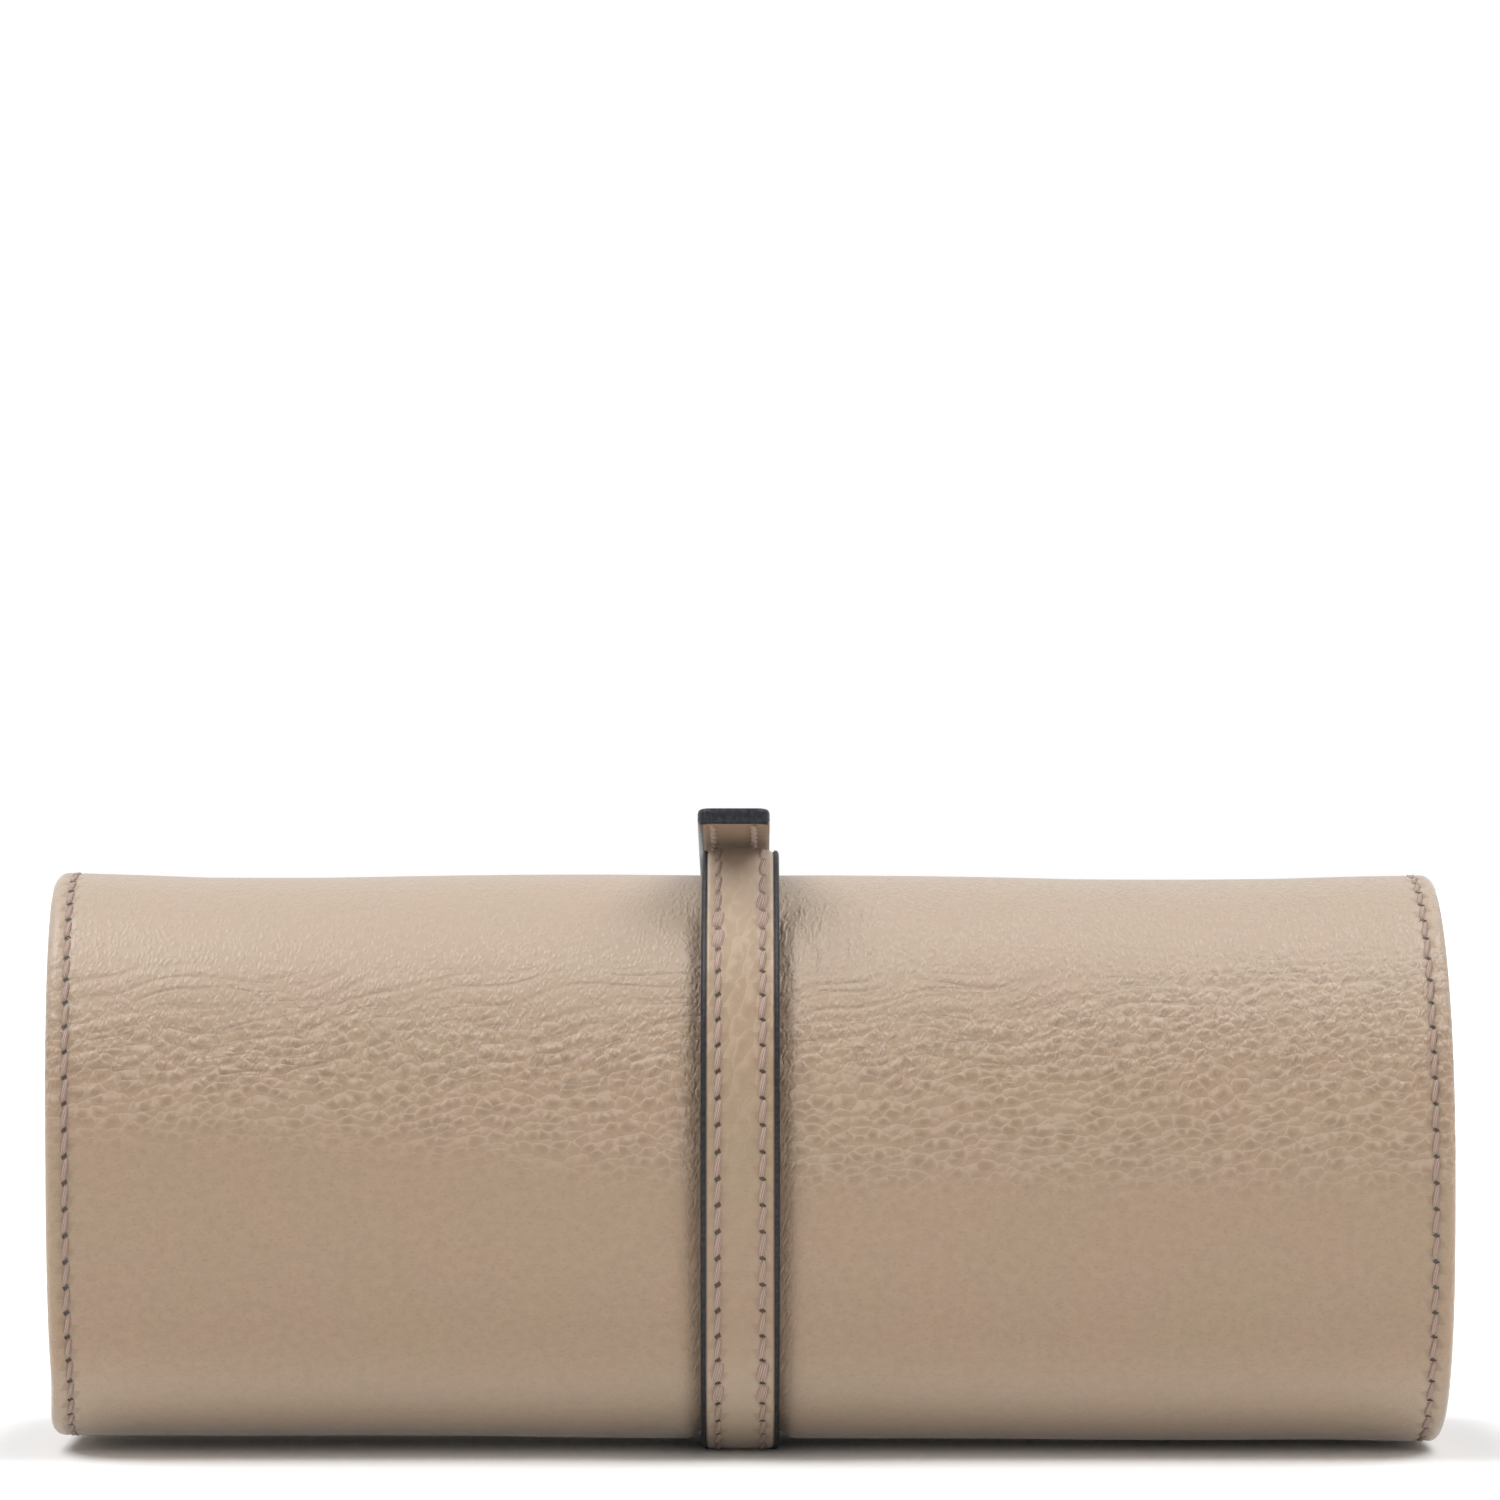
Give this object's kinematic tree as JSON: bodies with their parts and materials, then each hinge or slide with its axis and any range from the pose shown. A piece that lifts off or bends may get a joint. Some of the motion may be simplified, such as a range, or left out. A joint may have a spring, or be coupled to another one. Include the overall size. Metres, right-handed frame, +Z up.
{
  "type": "jewellery roll",
  "caption": "Closed jewellery roll of pebbled leather with a two-ply strap, zip pockets, a snap-down ring bar and a magnetic strap tip; it unrolls flat.",
  "frame": {"origin": "middle of the box, at the height of the surface that the roll stands on", "axes": "+X along the roll, to the right as the front is seen; the front faces -Y; +Z up"},
  "size_m": [0.23, 0.0756, 0.1069],
  "materials": {
    "leather": "pebbled, satin",
    "strap_leather": "pebbled, satin, painted edges",
    "strap_backing": "smooth, matte",
    "lining": "suede-like microfibre",
    "foam": "open-cell foam",
    "zip_tape": "woven tape",
    "zip_chain": "moulded teeth",
    "nickel": "plated, polished"
  },
  "bodies": {
    "back_corner": {"back_corner_leather": "leather", "back_corner_lining": "lining", "strap_back_corner_backing": "strap_backing", "strap_back_corner_face": "strap_leather"},
    "back_flap": {"back_flap_leather": "leather", "back_flap_lining": "lining", "back_flap_padding": "foam", "back_pocket_panel": "lining", "back_zip_chain": "zip_chain", "back_zip_tape_outer": "zip_tape", "back_zip_tape_pocket": "zip_tape", "strap_back_backing": "strap_backing", "strap_back_face": "strap_leather"},
    "back_pull": {"back_zip_pull": "nickel"},
    "back_slider": {"back_zip_slider": "nickel"},
    "bottom": {"bottom_leather": "leather", "bottom_lining": "lining", "bottom_padding": "foam", "strap_under_backing": "strap_backing", "strap_under_face": "strap_leather"},
    "front": {"front_leather": "leather", "front_lining": "lining", "front_padding": "foam", "front_pocket_panel": "lining", "front_zip_chain": "zip_chain", "front_zip_tape_outer": "zip_tape", "front_zip_tape_pocket": "zip_tape", "strap_front_backing": "strap_backing", "strap_front_face": "strap_leather"},
    "front_corner": {"front_corner_leather": "leather", "front_corner_lining": "lining", "strap_front_corner_backing": "strap_backing", "strap_front_corner_face": "strap_leather"},
    "front_pull": {"front_zip_pull": "nickel"},
    "front_slider": {"front_zip_slider": "nickel"},
    "leaf": {"leaf_leather": "leather", "leaf_lining": "lining", "ring_bar_anchor": "leather", "snap_stud": "nickel"},
    "ring_bar": {"ring_bar_cover": "lining", "ring_bar_filling": "foam", "snap_socket": "nickel", "snap_tab": "leather"},
    "strap_tail": {"strap_tail_backing": "strap_backing", "strap_tail_face": "strap_leather"},
    "strap_tip": {"strap_tip_backing": "strap_backing", "strap_tip_face": "strap_leather", "tip_magnet": "nickel"},
    "top_back": {"top_back_leather": "leather", "top_back_lining": "lining"},
    "top_front": {"short_end_magnet": "nickel", "strap_short_end_backing": "strap_backing", "strap_short_end_face": "strap_leather", "top_front_leather": "leather", "top_front_lining": "lining"}
  },
  "joints": [
    {"name": "unroll", "type": "hinge", "parent": "bottom", "child": "front_corner", "pos_m": [0, -0.01914, 0.00237], "axis": [1, 0, 0], "range_deg": [0, 42]},
    {"name": "front_fold", "type": "hinge", "parent": "front_corner", "child": "front", "pos_m": [0, -0.03302, 0.01677], "axis": [1, 0, 0], "range_deg": [0, 43.4]},
    {"name": "top_front_fold", "type": "hinge", "parent": "front", "child": "top_front", "pos_m": [0, -0.03119, 0.07638], "axis": [1, 0, 0], "range_deg": [0, 51.8]},
    {"name": "top_back_fold", "type": "hinge", "parent": "top_front", "child": "top_back", "pos_m": [0, -0.00192, 0.09573], "axis": [1, 0, 0], "range_deg": [0, 47.14]},
    {"name": "leaf_fold", "type": "hinge", "parent": "top_back", "child": "leaf", "pos_m": [0, 0.01502, 0.09011], "axis": [1, 0, 0], "range_deg": [0, 40.14]},
    {"name": "back_corner_fold", "type": "hinge", "parent": "bottom", "child": "back_corner", "pos_m": [0, 0.01914, 0.00237], "axis": [-1, 0, 0], "range_deg": [0, 42.01]},
    {"name": "back_flap_fold", "type": "hinge", "parent": "back_corner", "child": "back_flap", "pos_m": [0, 0.03302, 0.01677], "axis": [-1, 0, 0], "range_deg": [0, 44.34]},
    {"name": "strap_tail_swing", "type": "hinge", "parent": "back_flap", "child": "strap_tail", "pos_m": [0, 0.02934, 0.08258], "axis": [-1, 0, 0], "range_deg": [0, 40]},
    {"name": "strap_tip_peel", "type": "hinge", "parent": "strap_tail", "child": "strap_tip", "pos_m": [0, 0.00833, 0.10117], "axis": [-1, 0, 0], "range_deg": [0, 60]},
    {"name": "ring_bar_lift", "type": "hinge", "parent": "leaf", "child": "ring_bar", "pos_m": [-0.082, 0.01207, 0.07329], "axis": [0, 0.515, -0.8572], "range_deg": [0, 9]},
    {"name": "front_zip_slide", "type": "slide", "parent": "front", "child": "front_slider", "axis": [1, 0, 0], "range_m": [0, 0.178]},
    {"name": "back_zip_slide", "type": "slide", "parent": "back_flap", "child": "back_slider", "axis": [1, 0, 0], "range_m": [0, 0.178]},
    {"name": "front_pull_swing", "type": "hinge", "parent": "front_slider", "child": "front_pull", "pos_m": [-0.089, -0.02489, 0.06343], "axis": [0, 0.2924, 0.9563], "range_deg": [0, 170]},
    {"name": "back_pull_swing", "type": "hinge", "parent": "back_slider", "child": "back_pull", "pos_m": [-0.089, 0.0271, 0.0484], "axis": [0, 0, -1], "range_deg": [0, 170]}
  ],
  "couplings": [
    {"joint": "front_fold", "follows": "unroll", "ratio": 1.0333},
    {"joint": "top_front_fold", "follows": "unroll", "ratio": 1.2333},
    {"joint": "top_back_fold", "follows": "unroll", "ratio": 1.1222},
    {"joint": "leaf_fold", "follows": "unroll", "ratio": 0.95556},
    {"joint": "back_corner_fold", "follows": "unroll", "ratio": 1},
    {"joint": "back_flap_fold", "follows": "unroll", "ratio": 1.0556}
  ]
}
